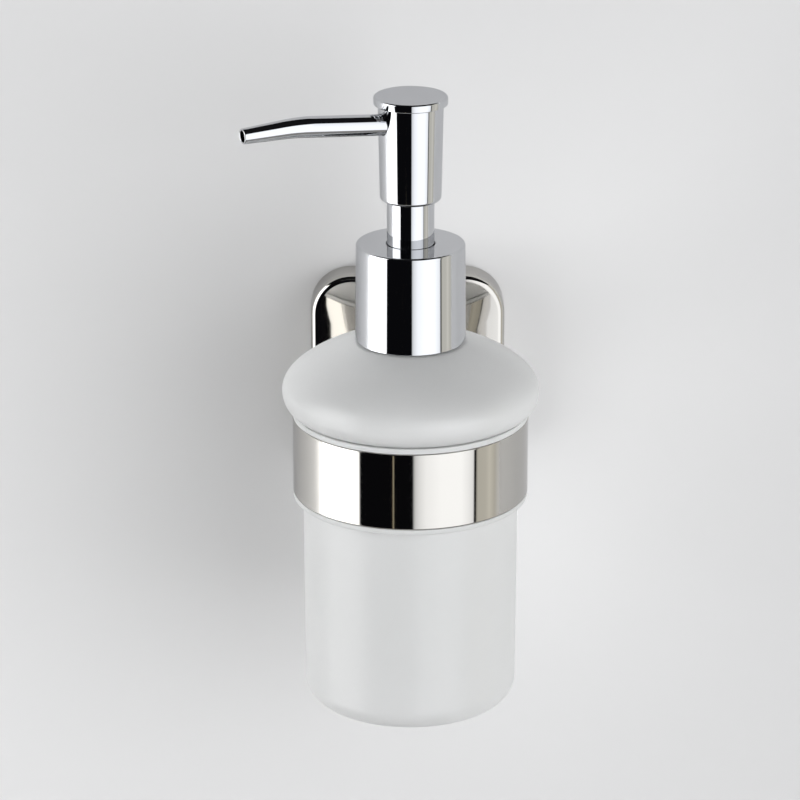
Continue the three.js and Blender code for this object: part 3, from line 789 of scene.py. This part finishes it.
# ---------- pump
def make_housing():
    """Barrel, valve chamber and tube socket in one moulding, hung from its flange."""
    outer, neck, socket_bore, socket_top = 8, 4.4, 2.6, 9.8
    seat_low, seat_high, roof, room, hole, ledge = 10.6, 12, 16.2, 2.6, 1.3, 21
    flange_low = HOUSING.high - 1.4
    corners = [
        (socket_bore, HOUSING.low, 0.2), (4, HOUSING.low, 0.3), (neck, socket_top, 0.5), (neck, roof, 1.5),
        (outer, ledge, 1.5), (outer, flange_low, 0.5), (HOUSING.radius, flange_low, 0.3),
        (HOUSING.radius, HOUSING.high, 0.3), (BARREL, HOUSING.high, 0.3), (BARREL, ledge + 1, 0.6),
        (1.5, roof + 1, 0.3), (1.5, roof), (room, roof, 0.3), (room, seat_high), (hole, seat_low),
        (hole, socket_top), (socket_bore, socket_top),
    ]
    return hollow("pump_barrel", corners, 96)


def make_guide():
    """Flanged nut that closes the barrel, with a chimney round the stem."""
    bore, hub, chimney, flange_low, flange_high = 4.4, 6.3, 6.2, 62.1, 63.3
    corners = [
        (bore, GUIDE.low, 0.2), (hub, GUIDE.low, 0.5), (hub, flange_low, 0.2),
        (GUIDE.radius, flange_low, 0.3), (GUIDE.radius, flange_high, 0.3),
        (chimney, flange_high, 0.4), (chimney, GUIDE.high, 0.3), (bore, GUIDE.high, 0.3),
    ]
    return hollow("guide_chimney", corners, 80)


def make_stem():
    """Hollow rod, thinner where the piston grips it."""
    bore, shaft, spigot, shoulder = 1.9, 4.1, 3, 54.8
    groove = PISTON.low - GAP
    corners = [
        (bore, STEM.low, 0.2), (STEM.radius, STEM.low, 0.3), (STEM.radius, groove, 0.3), (spigot, groove),
        (spigot, shoulder), (shaft, shoulder, 0.3), (shaft, STEM.high, 0.3), (bore, STEM.high, 0.2),
    ]
    return hollow("stem_rod", corners, 64)


def make_piston():
    """Double-lipped seal; both lips flare to the barrel's wall."""
    bore, waist, lip, low, high, outer = 3.3, 5.2, 1.6, PISTON.low, PISTON.high, PISTON.radius
    half = [(bore, low + lip, 0.2), (outer - 0.7, low, 0.2), (outer, low, 0.2)]
    half += [(outer, low + lip, 0.4), (waist, low + 2 * lip, 1)]
    corners = half + [(r, low + high - z, fillet) for r, z, fillet in reversed(half)]
    return hollow("piston_lips", corners, 80)


def make_ball():
    middle = (BALL.low + BALL.high) / 2
    radius = (BALL.high - BALL.low) / 2
    angles = [math.radians(-90 + 180 * k / 24) for k in range(25)]
    profile = [(radius * math.cos(angle), middle + radius * math.sin(angle)) for angle in angles]
    return revolve("valve_ball", profile, segments=40)


def make_tube():
    """Dip tube, its foot cut on the slant so that it can't seal against the glass."""
    tube = plain_tube("suction_tube", TUBE, 1.5, 0.12, 48)
    slant = Matrix.Translation(AXIS + Vector((0, 0, (TUBE.low + TUBE.radius) * MM)))
    slant = slant @ Matrix.Rotation(math.radians(45), 4, "Y") @ Matrix.Translation((0, 0, -10 * MM))
    return boolean(tube, slab("knife", (20, 20, 20), slant))


def make_spring():
    """Wire helix whose last coil at each end lies flat."""
    wire, turns, flat = 0.5, 7, 0.9
    radius = SPRING.radius - wire
    low, high = SPRING.low + wire, SPRING.high - wire

    def height(turn):
        if turn < flat:
            return low + wire * 2 * turn
        if turn > turns - flat:
            return high - wire * 2 * (turns - turn)
        share = (turn - flat) / (turns - 2 * flat)
        return low + wire * 2 * flat + share * (high - low - wire * 4 * flat)

    def coil(turn):
        angle = 2 * math.pi * turn
        side = Vector((math.cos(angle), math.sin(angle), 0))
        rise = (height(turn + 0.01) - height(turn - 0.01)) / 0.02
        tangent = Vector((-math.sin(angle), math.cos(angle), rise / (2 * math.pi * radius))).normalized()
        return AXIS / MM + side * radius + Vector((0, 0, height(turn))), tangent, side

    steps = 40
    stations = [(k / steps, wire) for k in range(turns * steps + 1)]
    return sweep("spring_wire", coil, stations, segments=12)


# ---------- head and spout
SPOUT_TURN = Matrix.Rotation(math.radians(205), 3, "Z")  # the spout leaves along +X of the head's own frame
SPOUT_START = 7.9
SPOUT_ROOT = 3.22
SPOUT_SPIGOT = 2.2
SPOUT_ROOT_HEIGHT = 104.35
SPOUT_RISE = 0.1


def spout_hole(name, radius, start, end):
    """Cutter along the line on which the spout enters the head."""
    line = SPOUT_TURN @ Vector((1, 0, SPOUT_RISE)).normalized()
    turn = Vector((0, 0, 1)).rotation_difference(line).to_matrix().to_4x4()
    axis_height = (SPOUT_ROOT_HEIGHT - SPOUT_RISE * SPOUT_START) * MM
    middle = Matrix.Translation(AXIS + Vector((0, 0, axis_height)))
    return prism(name, 64, radius, start, end, middle @ turn)


def make_head():
    """Cap with a slightly flared body and a flange round its flat top."""
    top, bottom, ceiling = HEAD.high, HEAD.low, 108.2
    low, high, flange, step = 9.25, 9.8, HEAD.radius, HEAD.high - 2.5
    bore = [(0, ceiling), (HEAD_BORE, ceiling, 0.5), (HEAD_BORE, bottom, 0.35)]
    side = [(low, bottom, 1.1), (high, top - 5.2)]
    disc = [(high, top - 5), (high, step, 0.25), (flange, step, 0.3), (flange, top, 0.75), (0, top)]
    head = revolve("head_cap", rounded(bore + side) + rounded(disc), segments=240)
    return boolean(head, spout_hole("hole", SPOUT_ROOT + 0.1, 5, 15))


def make_core():
    """Plug inside the head that grips the stem and feeds the spout."""
    plug, plug_low, plug_high, boss, socket, socket_top, bore = 7.2, 99.6, 107.8, 5.9, 4.4, 100.4, 1.9
    corners = [
        (socket, CORE.low, 0.3), (boss, CORE.low, 0.4), (boss, plug_low, 0.3), (plug, plug_low, 0.3),
        (plug, plug_high, 0.5), (bore, plug_high, 0.2), (bore, socket_top), (socket, socket_top),
    ]
    core = hollow("core_plug", corners, 72)
    return boolean(core, spout_hole("channel", SPOUT_SPIGOT + GAP, 0, 12))


def make_spout():
    """Tapering tube: a straight rise, a soft bend and an almost level end with a rounded open lip."""
    bend, half_bend, reach, fall = 37, 5, 54.6, -0.035
    tip, wall, spigot_end, taper_from = 2.35, 0.6, 4.2, 33.5
    bend_height = SPOUT_ROOT_HEIGHT + SPOUT_RISE * (bend - SPOUT_START)

    def line(x):
        share = min(1, max(0, (x - bend + half_bend) / (2 * half_bend)))
        slope = (1 - share) * SPOUT_RISE + share * fall
        if share in (0, 1):
            height = slope * (x - bend)
        else:
            height = half_bend * (share**2 * fall - (1 - share) ** 2 * SPOUT_RISE)
        point = AXIS / MM + SPOUT_TURN @ Vector((x, 0, bend_height + height))
        return point, SPOUT_TURN @ Vector((1, 0, slope)).normalized(), SPOUT_TURN @ Vector((0, 1, 0))

    def radius(x):
        return SPOUT_ROOT + (tip - SPOUT_ROOT) * max(0, (x - taper_from) / (reach - taper_from))

    start, steps, lip = SPOUT_START, 60, wall / 2
    body = [start + (reach - lip - start) * k / steps for k in range(steps + 1)]
    outside = [(x, radius(x)) for x in body]
    rim = []
    for k in range(1, 8):
        angle = math.pi * k / 8
        rim.append((reach - lip + lip * math.sin(angle), tip - lip + lip * math.cos(angle)))
    inside = [(x, radius(x) - wall) for x in reversed(body)]
    bore = SPOUT_SPIGOT - wall
    spigot = [(start - 0.2, bore), (spigot_end, bore), (spigot_end, SPOUT_SPIGOT)]
    spigot += [(start - 0.4, SPOUT_SPIGOT), (start - 0.4, SPOUT_ROOT - 0.3), (start - 0.1, SPOUT_ROOT)]
    return sweep("spout_tube", line, outside + rim + inside + spigot, segments=72, closed=True)


# ---------- assembly
place(make_plate_cover(), "holder", "plate_cover", NICKEL)
place(make_bracket(), "holder", "wall_bracket", ZINC, edge=0.25)
place(make_set_screw(), "holder", "set_screw", STEEL)
place(make_arm(), "holder", "holder_arm", NICKEL)
place(make_arm_screw(), "holder", "arm_screw", STEEL)
for side in ("upper", "lower"):
    place(make_wall_screw("wall_screw_" + side), "holder", "wall_screw_" + side, STEEL)
    place(make_wall_plug("wall_plug_" + side), "holder", "wall_plug_" + side, NYLON)
    place(make_ring_screw("ring_screw_" + side), "holder", "ring_screw_" + side, STEEL)
place(make_ring(), "holder", "holder_ring", NICKEL)
place(make_liner(), "liner", "ring_liner", CLEAR)
place(make_bottle(), "bottle", "bottle", GLASS_SKIN)
place(make_collar(), "closure", "collar", CHROME)
place(make_insert(), "closure", "closure_insert", WHITE)
place(make_gasket(), "pump", "neck_gasket", SOFT)
place(make_sleeve(), "pump", "guide_sleeve", CHROME)
place(make_housing(), "pump", "pump_housing", WHITE)
place(make_guide(), "pump", "guide_nut", WHITE)
place(make_tube(), "pump", "dip_tube", CLEAR)
spring = place(make_spring(), "pump", "return_spring", STEEL)
place(make_ball(), "ball", "inlet_ball", STEEL)
place(make_stem(), "plunger", "pump_stem", WHITE)
place(make_piston(), "plunger", "piston_seal", SOFT)
place(make_head(), "head", "pump_head", CHROME)
place(make_core(), "head", "head_core", WHITE)
place(make_spout(), "head", "spout", CHROME)

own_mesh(spring)


# ---------- stage, light and camera
def wall_paint():
    """Matt paint on the front only, so that the wall doesn't hide the part from behind."""
    material, tree, shader = new_material("stage_wall", (0.69, 0.69, 0.692), 0.8)
    bump(tree, shader, noise(tree, 180, 4), 0.05, 0.4)
    through = tree.nodes.new("ShaderNodeBsdfTransparent")
    facing = tree.nodes.new("ShaderNodeNewGeometry")
    mix = tree.nodes.new("ShaderNodeMixShader")
    tree.links.new(facing.outputs["Backfacing"], mix.inputs["Fac"])
    tree.links.new(shader.outputs["BSDF"], mix.inputs[1])
    tree.links.new(through.outputs["BSDF"], mix.inputs[2])
    tree.links.new(mix.outputs["Shader"], tree.nodes["Material Output"].inputs["Surface"])
    return material


def shade(color, share):
    """The same colour, darker or lighter."""
    return tuple(channel * share for channel in color)


BLACK = (0.004, 0.004, 0.005)
WHITE_CARD = (3.2, 3.2, 3.2)
CREAM_CARD = (1.63, 1.65, 1.69)
LINE = (0.44, 0.38, 0.27)
BEIGE = (0.745, 0.72, 0.645)
GREY = (0.8, 0.8, 0.8)
CARDS = [  # brightness round the horizon, in degrees to the right of the front
    (-180, GREY), (-150, GREY), (-148.5, WHITE_CARD), (-126.5, WHITE_CARD), (-125, GREY),
    (-98.5, GREY), (-97, WHITE_CARD), (-59, WHITE_CARD), (-52.5, shade(WHITE_CARD, 0.75)),
    (-51, BLACK), (1.8, BLACK),
    (3.2, shade(CREAM_CARD, 0.56)), (8.4, shade(CREAM_CARD, 0.76)), (14.3, shade(CREAM_CARD, 0.9)),
    (29, CREAM_CARD), (50, CREAM_CARD), (57.7, shade(CREAM_CARD, 0.88)),
    (63.2, shade(CREAM_CARD, 0.76)), (64.6, BLACK), (66.4, BLACK),
    (67.8, shade(BEIGE, 0.95)), (78, shade(BEIGE, 0.98)), (83, shade(BEIGE, 1.15)),
    (90, shade(BEIGE, 0.9)), (96, GREY), (125, GREY), (126.5, WHITE_CARD), (153.5, WHITE_CARD), (155, GREY),
]
LINE_AT = -17.2  # a thin bright gap in the dark card
LINE_WIDTH = 1.3
LINE_TOP = -20  # it shows only below this elevation
CARD_TOP = 38  # elevations between which the cards stand
CARD_BOTTOM = -38
CEILING = (0.01, 0.01, 0.011)
UNDERNEATH = (0.33, 0.32, 0.31)
BACKDROP = (0.82, 0.82, 0.825)  # what the camera sees past the wall


def studio_world():
    """Softboxes, dark cards and a dark ceiling, which light the part and show in its reflections."""
    world = bpy.data.worlds.new("studio")
    bpy.context.scene.world = world
    world.use_nodes = True
    tree = world.node_tree
    tree.nodes.clear()
    coordinates = tree.nodes.new("ShaderNodeTexCoord")
    split = tree.nodes.new("ShaderNodeSeparateXYZ")
    tree.links.new(coordinates.outputs["Generated"], split.inputs[0])
    x, y, z = (split.outputs[axis] for axis in "XYZ")
    azimuth = maths(tree, "ARCTAN2", x, maths(tree, "MULTIPLY", y, -1))  # 0 in front, positive to the right
    turn = maths(tree, "MULTIPLY_ADD", azimuth, 0.5 / math.pi, 0.5)
    cards = ramp(tree, turn, [((angle + 180) / 360, color) for angle, color in CARDS])
    on_line = maths(tree, "COMPARE", azimuth, math.radians(LINE_AT), math.radians(LINE_WIDTH / 2))
    low_down = maths(tree, "LESS_THAN", z, math.sin(math.radians(LINE_TOP)))
    on_line = maths(tree, "MULTIPLY", on_line, low_down)

    def background(color):
        """A colour, or the socket that gives one, as light."""
        node = tree.nodes.new("ShaderNodeBackground")
        if isinstance(color, tuple):
            node.inputs["Color"].default_value = (*color, 1)
        else:
            tree.links.new(color, node.inputs["Color"])
        return node.outputs["Background"]

    def choose(factor, a, b):
        node = tree.nodes.new("ShaderNodeMixShader")
        tree.links.new(factor, node.inputs["Fac"])
        tree.links.new(a, node.inputs[1])
        tree.links.new(b, node.inputs[2])
        return node.outputs["Shader"]

    above = maths(tree, "GREATER_THAN", z, math.sin(math.radians(CARD_TOP)))
    below = maths(tree, "LESS_THAN", z, math.sin(math.radians(CARD_BOTTOM)))
    studio = choose(on_line, background(cards), background(LINE))
    studio = choose(above, studio, background(CEILING))
    studio = choose(below, studio, background(UNDERNEATH))
    path = tree.nodes.new("ShaderNodeLightPath")
    seen = choose(path.outputs["Is Camera Ray"], studio, background(BACKDROP))
    output = tree.nodes.new("ShaderNodeOutputWorld")
    tree.links.new(seen, output.inputs["Surface"])


def area_light(name, location, target, size, power, lit=None):
    """A square light that neither shows nor mirrors; lit is the collection it shines on, if not on all."""
    data = bpy.data.lights.new(name, "AREA")
    data.size = size
    data.energy = power
    light = bpy.data.objects.new(name, data)
    light.location = location
    light.rotation_euler = (Vector(target) - Vector(location)).to_track_quat("-Z", "Y").to_euler()
    light.visible_glossy = False
    light.visible_camera = False
    light.light_linking.receiver_collection = lit
    bpy.context.scene.collection.objects.link(light)
    return light


def make_wall(side, low, high, behind):
    """The painted wall, open behind the plate so that the plate's back gets light too."""
    opening_low, opening_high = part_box("wall_bracket")
    margin = 2 * MM
    vertices = [(x, behind, z) for x, z in ((-side, low), (side, low), (side, high), (-side, high))]
    left, right = opening_low.x - margin, opening_high.x + margin
    bottom, top = opening_low.z - margin, opening_high.z + margin
    vertices += [(x, behind, z) for x, z in ((left, bottom), (right, bottom), (right, top), (left, top))]
    faces = [(k, (k + 1) % 4, 4 + (k + 1) % 4, 4 + k) for k in range(4)]
    wall = add_object("stage_wall", vertices, faces, smooth=False)
    wall.data.materials.append(wall_paint())
    return wall


def make_floor(side, middle, height):
    """A pale square floor of that half side, in metres, about (0, middle), which no metal mirrors."""
    paint, tree, shader = new_material("stage_floor", (0.58, 0.58, 0.58), 0.7)
    bump(tree, shader, noise(tree, 120, 3), 0.05, 0.4)
    low, high = middle - side, middle + side
    vertices = [(-side, low, height), (side, low, height), (side, high, height), (-side, high, height)]
    floor = add_object("stage_floor", vertices, [(0, 1, 2, 3)], smooth=False)
    floor.data.materials.append(paint)
    floor.visible_glossy = False


def make_stage():
    """Wall, floor and the lights that the studio's own light leaves wanting."""
    wall_side, wall_top, floor_drop = 1.6, 0.26, 0.35
    wall = make_wall(wall_side, -floor_drop, wall_top, 0.0003)
    make_floor(6, -0.4, -floor_drop)
    backdrop = bpy.data.collections.new("backdrop")
    backdrop.objects.link(wall)
    area_light("key_light", (0.75, -1.1, -0.1), (0, 0, 0), 1.2, 11.2)
    area_light("left_light", (-0.95, -0.75, -0.2), (0, 0, -0.03), 0.6, 2.5, DISPENSER)
    area_light("wall_wash", (-0.7, -0.25, -0.25), (-0.5, 0, -0.2), 0.4, 4.2, backdrop)
    area_light("wall_glow", (0.11, -0.12, 0.0), (0.05, 0, 0), 0.08, 0.026, backdrop)
    back = area_light("back_light", (-0.5, 1.0, 0.5), (0, 0, 0), 0.9, 5, DISPENSER)
    back.light_linking.blocker_collection = DISPENSER


def make_camera():
    """Looks down on the dispenser from in front, at about 1.3 m."""
    elevation, yaw = 20, -0.583
    data = bpy.data.cameras.new("photo_camera")
    data.sensor_width = 36
    data.lens = 190.62
    data.clip_start = 0.05
    camera = bpy.data.objects.new("photo_camera", data)
    camera.location = (-0.0155, -1.2923, 0.4569)
    camera.rotation_euler = (math.radians(90 - elevation), 0, math.radians(yaw))
    bpy.context.scene.collection.objects.link(camera)
    bpy.context.scene.camera = camera


make_stage()
studio_world()
make_camera()
bpy.context.scene.view_settings.view_transform = "Standard"
